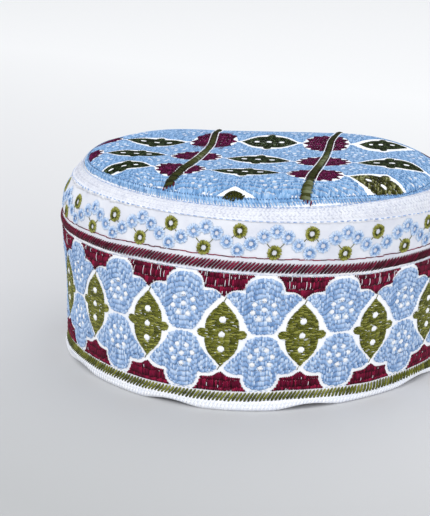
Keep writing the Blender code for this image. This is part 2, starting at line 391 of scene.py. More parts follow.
PLUM_THREAD = thread_material("mercerised_cotton_plum", "#2A0018", "#4E0A34", "#7C2456", *DULL)
OLIVE_THREAD = thread_material(
    "mercerised_cotton_olive", "#33360A", "#63661A", "#A0A04E", 0.55, 0.05, 0.15
)
MOSS_THREAD = thread_material("mercerised_cotton_moss", "#0E140A", "#242E16", "#505E40", *DULL)
RIB_THREAD = thread_material("mercerised_cotton_sage", "#1A1C06", "#40441C", "#949C7C", *MATT)
# A paler copy of the moss, with painted light and glints, for the lit crown eye and the eye tip at
# the front edge
GLINT_MOSS_THREAD = thread_material("mercerised_cotton_moss_painted_glints", "#161604", "#424414", "#A6A674", *MATT)
print("threads made")


# %% White cotton cloth
def cloth_material(name, middle, light, weave, twill=0.0):
    """Bleached cotton: threads 0.6 mm apart here, though real ones are 0.3 mm and wouldn't show."""
    material, shader = new_material(name, 0.85, 0.2)
    uv = node(material, "ShaderNodeUVMap", uv_map="cloth").outputs["UV"]
    sides = []
    for direction in ("X", "Y"):
        threads = node(
            material,
            "ShaderNodeTexWave",
            [("Vector", uv)],
            wave_type="BANDS",
            bands_direction="DIAGONAL" if twill and direction == "Y" else direction,
            Scale=0.314 / weave,
            Distortion=0.8,
        )
        sides.append(threads.outputs["Fac"])
    woven = node(material, "ShaderNodeMath", [(0, sides[0]), (1, sides[1])], operation="ADD")
    place = node(material, "ShaderNodeTexCoord").outputs["Object"]
    creases = node(material, "ShaderNodeTexNoise", [("Vector", place)], Scale=90.0, Detail=3.0)
    # Painted shade: the cloth is a little darker in the hollows of its soft creases than on their
    # tops
    colour = ramp(material, creases.outputs["Fac"], (0.25, middle), (0.7, light))
    material.node_tree.links.new(shader.inputs["Base Color"], colour)
    fine = node(
        material,
        "ShaderNodeBump",
        [("Height", woven.outputs["Value"])],
        Strength=0.35,
        Distance=0.1 * MM,
    )
    soft = node(
        material,
        "ShaderNodeBump",
        [("Height", creases.outputs["Fac"]), ("Normal", fine.outputs["Normal"])],
        Strength=0.4,
        Distance=1.2 * MM,
    )
    material.node_tree.links.new(shader.inputs["Normal"], soft.outputs["Normal"])
    return material


WHITE_CLOTH = cloth_material("bleached_plain_weave_cotton", "#F2F5FC", "#FFFFFF", 0.6)
# A greyer white, for the upper band and the welt
SOFT_CLOTH = cloth_material("greyer_plain_weave_cotton", "#D6D9E4", "#E7E9EF", 0.6)
HEM_CLOTH = cloth_material("bleached_cotton_twill", "#EEF2FF", "#FAFCFF", 1.0, twill=1.0)
print("cloths made")

# %% [markdown]
# ## Cloth pieces
# A band of cloth is a strip sewn into a ring. A flat outline of its thickness, spun round the axis
# in edit mode, makes the ring at once, with even rows for the weave. The spun mesh is then pressed
# to the cap's plan and lean by moving its points.


# %% Turned rings
def select_only(piece):
    """An operator acts on all that is selected, so everything else is let go first."""
    bpy.ops.object.select_all(action="DESELECT")
    piece.select_set(True)
    bpy.context.view_layer.objects.active = piece


def places(piece):
    """The mesh's points as an array, in millimetres."""
    flat = np.empty(len(piece.data.vertices) * 3)
    piece.data.vertices.foreach_get("co", flat)
    return flat.reshape(-1, 3) / MM


def set_places(piece, points):
    piece.data.vertices.foreach_set("co", (points * MM).ravel())
    piece.data.update()


def spun_ring(name, section, steps, open_at_axis=False):
    """Spins a closed outline of (reach, height) points round the cap's axis."""
    bpy.ops.object.select_all(action="DESELECT")
    bpy.ops.mesh.primitive_circle_add(vertices=len(section), radius=0.01)
    piece = bpy.context.active_object
    piece.name = name
    piece.data.name = name
    set_places(piece, np.array([(reach, 0.0, height) for reach, height in section]))
    bpy.ops.object.mode_set(mode="EDIT")
    bpy.ops.mesh.select_all(action="SELECT")
    if open_at_axis:
        bpy.ops.mesh.select_mode(type="EDGE")
        bpy.ops.object.mode_set(mode="OBJECT")
        for edge in piece.data.edges:
            ends = [piece.data.vertices[i].co.x for i in edge.vertices]
            edge.select = max(ends) < 1e-6
        bpy.ops.object.mode_set(mode="EDIT")
        bpy.ops.mesh.delete(type="EDGE")
        bpy.ops.mesh.select_mode(type="VERT")
        bpy.ops.mesh.select_all(action="SELECT")
    bpy.ops.mesh.spin(steps=steps, angle=2 * math.pi, center=(0, 0, 0), axis=(0, 0, 1))
    bpy.ops.mesh.select_all(action="SELECT")
    bpy.ops.mesh.remove_doubles(threshold=0.005 * MM)
    bpy.ops.mesh.normals_make_consistent(inside=False)
    bpy.ops.object.mode_set(mode="OBJECT")
    return piece


def finish_piece(piece, material, slot, *nodes):
    """Smooth shading with true corners, the finish, and the CAD parts that the piece stands for."""
    select_only(piece)
    bpy.ops.object.shade_smooth_by_angle(angle=math.radians(50))
    piece.data.materials.clear()
    piece.data.materials.append(material)
    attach(piece, "root")
    if nodes:
        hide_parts(*nodes)
    triangles = sum(len(face.vertices) - 2 for face in piece.data.polygons)
    print(piece.name, triangles, "triangles")
    return piece


def weave_map(piece, upright):
    """A UV map in millimetres: along the girth, and along the section that was spun."""
    angle = np.mod(np.arctan2(upright[:, 1], upright[:, 0]), 2 * math.pi)
    along = np.interp(angle, turn, along_rim)
    reach = np.hypot(upright[:, 0], upright[:, 1])
    layer = piece.data.uv_layers.new(name="cloth")
    corners = np.empty(len(piece.data.loops), dtype=int)
    piece.data.loops.foreach_get("vertex_index", corners)
    across = upright[:, 2] + (HALF_LENGTH - reach)
    pairs = np.stack([along[corners], across[corners]], axis=-1)
    # A face that closes the ring would run the map backwards, so its low corners go round once more
    sizes = np.empty(len(piece.data.polygons), dtype=int)
    piece.data.polygons.foreach_get("loop_total", sizes)
    face = np.repeat(np.arange(len(sizes)), sizes)
    top = np.zeros(len(sizes))
    np.maximum.at(top, face, pairs[:, 0])
    pairs[(top[face] - pairs[:, 0]) > GIRTH / 2, 0] += GIRTH
    layer.data.foreach_set("uv", pairs.ravel())


def pressed(piece):
    """Gives a spun ring its weave map, then presses it to the leaning cap."""
    upright = places(piece)
    weave_map(piece, upright)
    set_places(piece, press(upright[:, 0], upright[:, 1], upright[:, 2]))
    return piece


# %% [markdown]
# ## Hem
# The hem is the cloth's edge rolled over itself and stitched. Its section is a flat-bottomed round,
# like a slack cord, and the cap stands on it. Its twill shows as faint slanting lines.

# %% Rolled hem
hem_section = [
    (93.1, 5.45), (93.8, 5.1), (94.25, 4.2), (94.4, 3.0), (94.3, 1.7), (93.9, 0.7),
    (93.1, 0.0), (91.4, 0.0), (90.4, 0.4), (89.9, 1.5), (89.9, 4.2), (90.4, 5.45),
]
hem = pressed(spun_ring("rolled_hem", hem_section, 216))
finish_piece(hem, HEM_CLOTH, "white_cotton", "hem_roll")

# %% [markdown]
# ## Side bands
# Both bands are white cotton with a lining behind it. Each ring is closed: an outer face with a row
# every few millimetres, and a lining 2.6 mm further in. The coloured ground of the lower band isn't
# dyed. It is all stitching, which is laid on later.


# %% Lower and upper band
def band_section(foot, top, rows):
    """The closed outline of a band: its outer face from the top down, and its lining back up."""
    heights = np.linspace(top, foot, rows)
    outer = [(float(wall_reach(h)), float(h)) for h in heights]
    return outer + [(reach - WALL, height) for reach, height in reversed(outer)]


lower = pressed(spun_ring("lower_band_cloth", band_section(LOWER_FOOT, LOWER_TOP, 20), 216))
finish_piece(lower, WHITE_CLOTH, "white_cotton", "lower_band")
upper = pressed(spun_ring("upper_band_cloth", band_section(UPPER_FOOT, UPPER_TOP, 10), 216))
finish_piece(upper, SOFT_CLOTH, "white_cotton", "upper_band")

# %% [markdown]
# ## Welt
# A roll of wadding under the cloth pads the top edge. Close rows of white stitching hold it, and
# pull shallow dimples into it. The dimples are moved into the spun mesh's points, in a slanting
# lattice, before the ring is pressed.

# %% Padded welt
DIMPLES = 96
DIMPLE_DEPTH = 0.16
welt_shares = np.linspace(0.0, 1.0, 13)
welt_outer = [tuple(point) for point in welt_section(welt_shares)]
welt_inner = [(91.1, WELT_FOOT), (89.3, 84.8), (87.6, 86.0), (87.2, 86.6)]
welt = spun_ring("padded_welt", welt_outer + welt_inner[::-1], 360)
upright = places(welt)
reach = np.hypot(upright[:, 0], upright[:, 1])
share = np.clip((upright[:, 2] - WELT_FOOT) / 7.0, 0.0, 1.0)
outside = reach > 94.0 - 6.0 * share
angle = np.arctan2(upright[:, 1], upright[:, 0])
dimple = np.cos(DIMPLES * angle + 9.0 * share) * np.sin(math.pi * share) ** 2
pull = np.where(outside, DIMPLE_DEPTH * dimple, 0.0)
upright[:, 0] += pull * np.cos(angle)
upright[:, 1] += pull * np.sin(angle)
set_places(welt, upright)
welt = pressed(welt)
finish_piece(welt, SOFT_CLOTH, "white_cotton", "crown_welt")

# %% [markdown]
# ## Crown cloth
# The crown is a disc of the same cotton. Its section runs from the middle out to the seam and back
# underneath, so it is open only on the axis, where the spun points meet and are merged.

# %% Crown disc
crown_reaches = CROWN_REACH * np.array(
    [0, 0.12, 0.24, 0.36, 0.46, 0.54, 0.61, 0.68, 0.74, 0.79, 0.84, 0.89, 0.93, 0.96, 0.98, 1.0]
)
crown_upper = [(float(r), float(crown_height(r))) for r in crown_reaches]
crown_under = [(r, h - WALL) for r, h in reversed(crown_upper)]
crown = spun_ring("crown_cloth", crown_upper + crown_under, 180, open_at_axis=True)
upright = places(crown)
weave_map(crown, upright)
flat = press(upright[:, 0], upright[:, 1], upright[:, 2])
reach = np.hypot(upright[:, 0], upright[:, 1])
scale = plan_scale(np.arctan2(upright[:, 1], upright[:, 0]))
flat[:, 2] += crown_swell(reach, upright[:, 0] * scale, upright[:, 1] * scale)
set_places(crown, flat)
finish_piece(crown, WHITE_CLOTH, "pale_blue_embroidery", "crown_panel")

# %% [markdown]
# ## One stitch
# A stitch is a short length of thread that comes up out of the cloth, lies over it and goes down
# again. A small sphere of six sides, drawn out into a grain, is enough: each copy is only a few
# pixels long, and there are nearly fifty thousand. Its length runs along Y.

# %% Master stitch
bpy.ops.object.select_all(action="DESELECT")
bpy.ops.mesh.primitive_uv_sphere_add(segments=6, ring_count=4, radius=1.0)
master = bpy.context.active_object
bpy.ops.object.mode_set(mode="EDIT")
bpy.ops.mesh.select_all(action="SELECT")
bpy.ops.transform.rotate(value=math.pi / 2, orient_axis="X", center_override=(0, 0, 0))
bpy.ops.mesh.quads_convert_to_tris()
bpy.ops.mesh.select_all(action="DESELECT")
bpy.ops.object.mode_set(mode="OBJECT")
for vertex in master.data.vertices:
    vertex.select = 0.5 < abs(vertex.co.y) < 0.9
bpy.ops.object.mode_set(mode="EDIT")
bpy.ops.transform.resize(value=(1.25, 1.0, 1.25))
bpy.ops.object.mode_set(mode="OBJECT")
GRAIN = np.array([vertex.co[:] for vertex in master.data.vertices])
GRAIN_FACES = np.array([face.vertices[:] for face in master.data.polygons])
GRAIN_TURN = np.mod(np.arctan2(GRAIN[:, 0], -GRAIN[:, 2]) / (2 * math.pi), 1.0)
bpy.data.objects.remove(master, do_unlink=True)
print("stitch", len(GRAIN), "points,", len(GRAIN_FACES), "triangles")

# %% [markdown]
# ## Sewing
# A stitch is written as a row of numbers: where it starts, where it ends, how wide the thread is,
# how high it arches and its shade. `sew` turns a list of rows into one mesh. It places the master's
# points in flat pattern space and then lays them on the wall, the welt or the crown.

# %% Lay stitches on a surface
dice = np.random.RandomState(7)


def sew(name, rows, lay, material):
    """Makes one piece of many stitches. rows: u0, v0, u1, v1, width, arch, shade."""
    rows = np.asarray(rows, dtype=float)
    middle = (rows[:, 0:2] + rows[:, 2:4]) / 2
    half = (rows[:, 2:4] - rows[:, 0:2]) / 2
    length = np.maximum(np.hypot(half[:, 0], half[:, 1]), 1e-6)
    side = np.stack([half[:, 1], -half[:, 0]], axis=-1) / length[:, None]
    width = rows[:, 4] / 2
    flat = middle[:, None, :] + half[:, None, :] * GRAIN[None, :, 1:2]
    flat = flat + side[:, None, :] * (GRAIN[None, :, 0:1] * width[:, None, None])
    arch = np.sqrt(np.maximum(0.0, 1.0 - GRAIN[:, 1] ** 2))
    lift = rows[:, 5:6] * arch[None, :] + 0.55 * width[:, None] * GRAIN[None, :, 2]
    points = lay(flat[..., 0].ravel(), flat[..., 1].ravel(), lift.ravel())
    count = len(rows)
    faces = GRAIN_FACES[None] + (np.arange(count) * len(GRAIN))[:, None, None]
    mesh = bpy.data.meshes.new(name)
    mesh.from_pydata((points * MM).tolist(), [], faces.reshape(-1, 3).tolist())
    piece = bpy.data.objects.new(name, mesh)
    bpy.context.scene.collection.objects.link(piece)
    select_only(piece)
    bpy.ops.object.mode_set(mode="EDIT")
    bpy.ops.mesh.select_all(action="SELECT")
    bpy.ops.mesh.normals_make_consistent(inside=False)
    bpy.ops.object.mode_set(mode="OBJECT")
    mesh.shade_smooth()
    shade = mesh.attributes.new("shade", "FLOAT", "POINT")
    # Painted shade and highlight: each stitch is darker at its start, where it dives into the
    # cloth, and lighter towards its end, as light and shade fall on overlapping tiers
    tones = rows[:, 6:7] + 0.22 * GRAIN[None, :, 1] - 0.1 * GRAIN[None, :, 1] ** 2
    shade.data.foreach_set("value", np.clip(tones, 0.0, 1.0).ravel())
    along = GRAIN[None, :, 1] * length[:, None] + dice.rand(count, 1)
    pairs = np.stack([along, np.broadcast_to(GRAIN_TURN, along.shape)], axis=-1).reshape(-1, 2)
    corners = np.empty(len(mesh.loops), dtype=int)
    mesh.loops.foreach_get("vertex_index", corners)
    mesh.uv_layers.new(name="thread").data.foreach_set("uv", pairs[corners].ravel())
    mesh.materials.append(material)
    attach(piece, "root")
    print(name, count, "stitches", len(mesh.polygons), "triangles")
    return piece


# %% [markdown]
# ## Filling a motif
# A machine fills an outline with parallel threads. Each thread crosses the outline from side to
# side and is tacked down on the way, so it shows as a row of shorter stitches. `fill` cuts straight
# columns by the outline, breaks them into tiers and leaves the eyelets free. The tiers may bow, as
# they do in the flowers.


# %% Fill an outline with stitches
def crossings(outline, u):
    """Where the upright line at u crosses a closed outline, from low to high."""
    found = []
    for (u0, v0), (u1, v1) in zip(outline, outline[1:] + outline[:1]):
        if (u0 <= u) != (u1 <= u):
            found.append(v0 + (v1 - v0) * (u - u0) / (u1 - u0))
    return sorted(found)


def clear_of(spans, u, eyelets):
    """Cuts the eyelets' discs out of the spans of one column."""
    for eye_u, eye_v, radius in eyelets:
        if abs(u - eye_u) >= radius:
            continue
        half = math.sqrt(radius**2 - (u - eye_u) ** 2)
        kept = []
        for low, high in spans:
            if high <= eye_v - half or low >= eye_v + half:
                kept.append((low, high))
                continue
            if low < eye_v - half:
                kept.append((low, eye_v - half))
            if high > eye_v + half:
                kept.append((eye_v + half, high))
        spans = kept
    return spans


def fill(
    outline,
    eyelets,
    pitch,
    tier,
    width,
    arch,
    bow=0.0,
    stagger=0.25,
    over=0.2,
    rough=0.0,
    sideways=False,
):
    """Stitches that fill an outline: upright columns, or rows where sideways is set."""
    if sideways:
        outline = [(v, u) for u, v in outline]
        eyelets = [(v, u, radius) for u, v, radius in eyelets]
    rows = []
    low_u = min(u for u, v in outline)
    high_u = max(u for u, v in outline)
    for column in range(int((high_u - low_u) / pitch) + 1):
        u = low_u + pitch * (column + 0.5)
        cuts = [v + dice.uniform(-rough, rough) for v in crossings(outline, u)]
        spans = clear_of(list(zip(cuts[0::2], cuts[1::2])), u, eyelets)
        for low, high in spans:
            phase = bow * u * u + tier * stagger * dice.uniform(-1.0, 1.0)
            first = math.floor((low - phase) / tier)
            last = math.ceil((high - phase) / tier)
            edges = [low] + [phase + tier * k for k in range(first + 1, last)] + [high]
            edges = [e for e in edges if low <= e <= high]
            for below, above in zip(edges, edges[1:]):
                if above - below < 0.35:
                    continue
                tone = dice.uniform(0.15, 0.85)
                slip = dice.uniform(-0.12, 0.12)
                rows.append((u + slip, below - over, u - slip, above + over, width, arch, tone))
    if sideways:
        rows = [(v0, u0, v1, u1, *rest) for u0, v0, u1, v1, *rest in rows]
    return rows


def dots(eyelets, width=0.62, arch=0.3):
    """White spots: a few short upright stitches side by side in each eyelet."""
    rows = []
    for u, v, radius in eyelets:
        count = max(3, round(2 * radius / 0.52))
        for i in range(count):
            offset = ((i + 0.5) / count - 0.5) * 2 * radius
            half = math.sqrt(max(0.1, radius**2 - offset**2)) + 0.15
            ends = half + dice.uniform(-0.2, 0.2, 2)
            rows.append((u + offset, v - ends[0], u + offset, v + ends[1], width, arch, 0.8))
    return rows


def mirrored(right_half):
    """Closes an outline whose right half runs from the bottom to the top of the middle line."""
    return right_half + [(-u, v) for u, v in reversed(right_half) if abs(u) > 1e-6]


def shrunk(outline, by):
    """An outline drawn in towards its middle, so that white shows all round the motif."""
    middle_u = sum(u for u, v in outline) / len(outline)
    middle_v = sum(v for u, v in outline) / len(outline)
    drawn = []
    for u, v in outline:
        kept = 1.0 - by / math.hypot(u - middle_u, v - middle_v)
        drawn.append((middle_u + (u - middle_u) * kept, middle_v + (v - middle_v) * kept))
    return drawn


def copied(rows, count, pitch, start, lean=0.0, level=0.0):
    """Repeats a motif round the girth; lean is how far it slants there for each millimetre up."""
    base = np.asarray(rows, dtype=float)
    copies = []
    for k in range(count):
        made = base.copy()
        made[:, 0] += start + pitch * k + lean * (base[:, 1] - level)
        made[:, 2] += start + pitch * k + lean * (base[:, 3] - level)
        made[:, 6] += dice.uniform(-0.2, 0.2, len(base))
        copies.append(made)
    return np.concatenate(copies)


# %% [markdown]
# ## Lower band
# Sixteen olive eye shapes stand round the cap, each with three white eyelets and a short wing on
# either side. Between them stand pairs of pale blue flowers, one upright and one hanging. Wine red
# wedges fill what is left, above and below. A white gap of a millimetre or two parts them all.

# %% Eye shapes
EYES = 16
EYE_PITCH = GIRTH / EYES
EYE_START = 0.5565 * GIRTH
EYE_LEVEL = 33.5
STITCH_LEAN = 0.07
eye_right = [
    (0.0, -13.8), (1.7, -12.2), (4.0, -10.1), (6.0, -7.9), (7.1, -5.8), (7.6, -3.4),
    (7.6, -1.6), (9.4, -1.5), (10.7, -0.9), (11.3, 0.3), (10.8, 1.5), (9.3, 2.1),
    (7.6, 2.2), (7.6, 3.9), (7.1, 6.0), (5.9, 8.1), (4.0, 10.2), (1.7, 12.3),
    (0.0, 13.9),
]
eye_dots = [(0.1, 6.2, 1.5), (0.0, 0.0, 1.4), (-0.1, -6.3, 1.5)]
eye_shape = shrunk(mirrored(eye_right), 0.15)
eye_threads = {"pitch": 0.46, "tier": 2.6, "width": 0.56, "arch": 0.35, "stagger": 0.5}
eye_rows = fill(eye_shape, eye_dots, **eye_threads, over=0.3, sideways=True)
# A thread runs on from each tip
eye_rows += [(0.0, 13.2, 1.3, 15.6, 0.4, 0.2, 0.2), (0.0, -13.2, -1.4, -15.6, 0.4, 0.2, 0.2)]


def on_lower(rows, start):
    """Copies of a lower band motif whose heights are counted from the eyes' middle."""
    raised = np.asarray(rows, dtype=float)
    raised[:, 1] += EYE_LEVEL
    raised[:, 3] += EYE_LEVEL
    return copied(raised, EYES, EYE_PITCH, start, STITCH_LEAN, EYE_LEVEL)


sew("olive_eyes", on_lower(eye_rows, EYE_START), on_wall, OLIVE_THREAD)

# %% Flowers
flower_up = [
    (0.0, 0.4), (2.6, 0.4), (5.0, 0.9), (6.4, 2.3), (8.0, 4.6), (9.4, 7.4),
    (11.8, 10.6), (14.6, 13.3), (16.9, 15.2), (17.0, 16.1), (16.0, 17.1),
    (14.2, 17.8), (11.8, 18.0), (9.7, 17.6), (8.8, 17.8), (8.8, 19.2), (8.3, 20.8),
    (7.2, 22.4), (5.3, 23.7), (2.8, 24.4), (0.0, 24.6),
]
flower_down = [
    (0.0, -24.3), (2.8, -24.0), (5.2, -23.1), (6.9, -21.4), (7.7, -19.4),
    (7.9, -17.6), (8.3, -16.8), (10.2, -17.3), (12.6, -17.1), (15.0, -16.3),
    (16.4, -15.1), (16.6, -14.0), (14.5, -11.5), (12.0, -9.1), (9.7, -6.6),
    (8.1, -4.3), (6.8, -1.9), (5.0, -0.8), (2.5, -0.1), (0.0, 0.1),
]


def wheel_of_spots(level, right_half):
    """A white spot in a flower's middle, at a level, and a wheel of others round it."""
    left_half = [(-u, v) for u, v in right_half if u > 0.0]
    return [(u, level + v, 1.15) for u, v in [(0.0, 0.0), *right_half, *left_half]]


up_dots = wheel_of_spots(11.1, [(0.0, 3.9), (4.35, 2.1), (5.0, -1.3), (2.3, -3.9)])
down_dots = wheel_of_spots(-9.9, [(2.2, 3.7), (5.0, 0.8), (3.9, -2.6), (0.0, -4.3)])
up_shape = shrunk(mirrored(flower_up), 0.35)
down_shape = shrunk(mirrored(flower_down), 0.35)
flower_threads = {"pitch": 0.68, "tier": 2.25, "width": 0.86, "arch": 0.4, "rough": 0.3}
up_rows = fill(up_shape, up_dots, **flower_threads, bow=-0.04, over=0.12)
down_rows = fill(down_shape, down_dots, **flower_threads, bow=0.04, over=0.12)
FLOWER_START = EYE_START + EYE_PITCH / 2
for name, rows in (("blue_flowers_upright", up_rows), ("blue_flowers_hanging", down_rows)):
    sew(name, on_lower(rows, FLOWER_START), on_wall, BLUE_THREAD)

# %% Wine red wedges
wedge_up = [
    (0.0, 15.6), (1.5, 16.9), (3.0, 18.0), (5.0, 18.7), (8.7, 18.9), (9.4, 21.1),
    (10.3, 22.9), (11.8, 24.3), (14.0, 25.1), (0.0, 25.1),
]
wedge_down = [
    (0.0, -24.5), (12.2, -24.5), (10.4, -22.7), (9.4, -20.8), (8.9, -18.7),
    (5.5, -18.5), (3.0, -18.0), (0.0, -15.7),
]
wedge_threads = {"pitch": 0.86, "tier": 3.3, "width": 0.9, "arch": 0.5}
wedge_rows = []
wedge_bed_shade = []
for wedge in (mirrored(wedge_up), mirrored(wedge_down)):
    wedge_rows += fill(wedge, [], **wedge_threads, bow=0.006, stagger=0.1)
    # A bed of loose threads lies under them; its darkest wine is painted shade, and shows as the
    # dark lines between the stitches
    bed = fill(wedge, [], pitch=1.0, tier=5.0, width=1.3, arch=0.16, over=0.0)
    wedge_bed_shade += [(*row[:6], 0.05) for row in bed]
wedges = on_lower(wedge_rows + wedge_bed_shade, EYE_START)
sew("wine_wedges", wedges, on_wall, WINE_THREAD)

# %% White spots in the eyes and flowers
spot_rows = on_lower(dots(eye_dots), EYE_START)
spot_rows = np.concatenate([spot_rows, on_lower(dots(up_dots + down_dots), FLOWER_START)])
sew("white_spots", spot_rows, on_wall, WHITE_THREAD)


# %% Ground that shows between the threads
def flecks(rows, share, width, arch, shortest=0.35):
    """Thin white slivers beside some of the stitches, where their threads part."""
    found = []
    for u0, v0, u1, v1, *rest in np.asarray(rows)[:, :4]:
        if dice.rand() < share:
            part = dice.uniform(shortest, shortest + 0.5)
            found.append((u0, v0, u0 + (u1 - u0) * part, v0 + (v1 - v0) * part, width, arch, 0.6))
    return found


upper_tier = [row for row in wedge_rows if row[3] > 23.0]
tier_rows = on_lower(upper_tier, EYE_START)
fleck_rows = flecks(tier_rows, share=0.17, width=0.26, arch=1.1, shortest=0.8)
fleck_rows += flecks(on_lower(wedge_rows, EYE_START), share=0.05, width=0.26, arch=0.8)
fleck_rows += flecks(on_lower(eye_rows, EYE_START), share=0.07, width=0.24, arch=0.5)
sew("white_flecks", fleck_rows, on_wall, WHITE_THREAD)

# %% [markdown]
# ## Satin lines
# A wine red line runs over the seam of the two bands, and an olive line lies just above the hem.
# Both are satin stitch: slanting threads side by side, all leaning to the right.


# %% Two satin lines
def satin_line(low, high, slant, count, width, arch):
    """Slanting stitches side by side all round the cap."""
    rows = []
    for k in range(count):
        u = GIRTH * k / count
        ragged = dice.uniform(-0.12, 0.12, 2)
        tone = dice.uniform(0.1, 0.65)
        rows.append((u, low + ragged[0], u + slant, high + ragged[1], width, arch, tone))
    return rows


wine_line = satin_line(59.9, 64.5, slant=4.0, count=332, width=1.15, arch=0.6)
sew("wine_satin_line", wine_line, on_wall, WINE_THREAD)
olive_line = satin_line(4.8, 8.6, slant=3.2, count=325, width=1.1, arch=0.5)
sew("olive_satin_line", olive_line, on_wall, OLIVE_THREAD)

# %% [markdown]
# ## Upper band
# Eighteen zigzags of pale blue rings run round the narrow band. Each ring is an eyelet, a hole
# whose edge is bound with stitches like the spokes of a wheel. An olive eyelet sits above each
# valley and below each peak, and thin threads jump from it to the rings beside it.


# %% Rings and eyelets
def spokes(u, v, inner, outer, count, width, arch, tone):
    """Stitches like the spokes of a wheel, with ragged outer ends."""
    rows = []
    for k in range(count):
        angle = 2 * math.pi * (k + dice.uniform(-0.25, 0.25)) / count
        end = outer + dice.uniform(-0.25, 0.25)
        across, up = math.cos(angle), math.sin(angle)
        near = (u + inner * across, v + inner * up)
        far = (u + end * across, v + end * up)
        rows.append((*near, *far, width, arch, tone + dice.uniform(-0.25, 0.25)))
    return rows


def eyelet(u, v, hole, outer):
    """A bound hole: a close ring at its edge, painted dark as the shade round the hole, and paler
    spokes that reach out from it.
    """
    rows = spokes(u, v, hole, 0.72 * outer, count=14, width=0.8, arch=0.42, tone=0.35)
    rows += spokes(u, v, 0.5 * outer, outer + 0.1, count=30, width=0.64, arch=0.36, tone=0.84)
    return rows


ZIGZAGS = 18
ZIGZAG_PITCH = GIRTH / ZIGZAGS
PEAK_START = 0.6151 * GIRTH
ZIGZAG = ((0.0, 78.2), (5.35, 75.9), (-5.35, 75.9), (10.6, 72.5), (-10.6, 72.5), (16.1, 69.3))
blue_rings = []
for step, height in ZIGZAG:
    blue_rings += eyelet(step, height, hole=0.9, outer=3.2)
ring_rows = copied(blue_rings, ZIGZAGS, ZIGZAG_PITCH, PEAK_START)
sew("blue_rings", ring_rows, on_wall, BLUE_THREAD)
olive_rings = eyelet(0.0, 69.0, hole=1.0, outer=3.3)
olive_rings += eyelet(16.1, 77.8, hole=1.0, outer=3.3)
for u, v, side in ((0.0, 69.0, 1.0), (16.1, 77.8, -1.0)):
    for way in (-1.0, 1.0):
        near = (u + way * 1.9, v + side * 1.9)
        far = (u + way * 4.2, v + side * 4.4)
        olive_rings.append((*near, *far, 0.4, 0.25, 0.3))
eyelet_rows = copied(olive_rings, ZIGZAGS, ZIGZAG_PITCH, PEAK_START)
sew("olive_eyelets", eyelet_rows, on_wall, OLIVE_THREAD)


# %% Running stitches
def running(level, pitch, dash, width, arch, wobble=0.1):
    """A dashed line of single stitches all round the cap."""
    rows = []
    count = round(GIRTH / pitch)
    for k in range(count):
        u = GIRTH * k / count
        drift = dice.uniform(-wobble, wobble, 2)
        tone = dice.uniform(0.2, 0.9)
        rows.append((u, level + drift[0], u + dash, level + drift[1], width, arch, tone))
    return rows


wine_thin = running(66.3, pitch=3.2, dash=4.2, width=0.5, arch=0.25, wobble=0.3)
sew("wine_thin_line", wine_thin, on_wall, WINE_THREAD)
ink_rows = running(82.1, pitch=3.0, dash=2.2, width=0.38, arch=0.46)
ink_rows += running(59.0, pitch=2.4, dash=1.5, width=0.28, arch=0.2)
ink_rows += running(9.1, pitch=2.4, dash=1.6, width=0.3, arch=0.2)
sew("blue_running_stitches", ink_rows, on_wall, INK_THREAD)
# The bands' seams are oversewn in white, so that no dark slit shows between two pieces of cloth
cover_rows = running(82.05, pitch=2.4, dash=2.9, width=0.9, arch=0.12)
cover_rows += running(BAND_SEAM, pitch=2.4, dash=2.9, width=0.8, arch=0.08)
sew("white_seam_covers", cover_rows, on_wall, PALE_THREAD)
# A tacking thread was pulled out of the flowers and has left a line of small marks
marks = [
    (u, level, u + 0.6, level, 0.26, 0.75, 0.3) for level in (14.7, -14.9) for u in range(-14, 15)
]
mark_rows = on_lower([mark for mark in marks if dice.rand() < 0.6], FLOWER_START)
sew("slate_tacking_marks", mark_rows, on_wall, SLATE_MARKS_AND_SHADE)

# %% [markdown]
# ## Crown
# The crown repeats the eye shapes, lying on their sides in columns 59 mm apart, with jagged wine
# red stars in the columns between. Pale blue flowers fill all the rest, one in each corner between
# an eye and a star. The pattern is a lattice, so one eye, one star and one flower are drawn and
# then copied.

# %% Crown lattice
COLUMN = 29.6
ROW = 42.5
ROW_START = -15.5
CROWN_EDGE = 84.8


def narrowing(angle):
    """How much further out the border begins at the right front, where it is narrow."""
    return 2.0 * bell(angle, math.radians(326), math.radians(16))


# Where the lattice's crossings lie on the panel, which the hand sewing has pulled: rows from the
# front to the back, each from the left to the right
CROSSINGS = np.array(
    [
        [(-87, -60), (-59, -62), (-33, -88), (-4, -91), (29, -88), (59, -84), (88, -80)],
        [(-87, -40), (-58.5, -47), (-32, -56), (-2, -55), (29.4, -53.3), (59.3, -53), (88, -50)],
        [(-87, -15), (-57, -25), (-30.3, -16), (-1, -14.3), (29.8, -16.5), (61.9, -20), (92, -24)],
        [(-85, 16), (-53.5, 9.5), (-27.4, 24.5), (-0.5, 27.5), (28.5, 28), (54.5, 26), (88, 24)],
        [(-80, 50), (-52, 44), (-26, 68), (0, 69), (28, 69), (57, 65), (86, 62)],
    ]
)


def on_pattern(x, y, lift):
    """The crown's pattern as it lies, blended between the lattice's crossings."""
    across = x / COLUMN + 3.0
    along = (y - ROW_START) / ROW + 2.0
    i = np.clip(np.floor(across), 0, 5).astype(int)
    j = np.clip(np.floor(along), 0, 3).astype(int)
    side = across - i
    back = (along - j)[..., None]
    blend = np.stack([side, eased(side, 0.0, 1.0)], axis=-1)
    front_row = CROSSINGS[j, i] * (1.0 - blend) + CROSSINGS[j, i + 1] * blend
    back_row = CROSSINGS[j + 1, i] * (1.0 - blend) + CROSSINGS[j + 1, i + 1] * blend
    place = front_row * (1.0 - back) + back_row * back
    return on_crown(place[..., 0], place[..., 1], lift)


def inside_edge(rows, edge):
    """Keeps the stitches whose middle lies within this reach of the crown's middle."""
    rows = np.asarray(rows, dtype=float)
    x = (rows[:, 0] + rows[:, 2]) / 2
    y = (rows[:, 1] + rows[:, 3]) / 2
    place = on_pattern(x, y, np.zeros(len(rows)))
    x, y = place[:, 0] - CROWN_SHIFT, place[:, 1]
    angle = np.arctan2(y, x)
    return rows[np.hypot(x, y) / plan_scale(angle) < edge + narrowing(angle)]


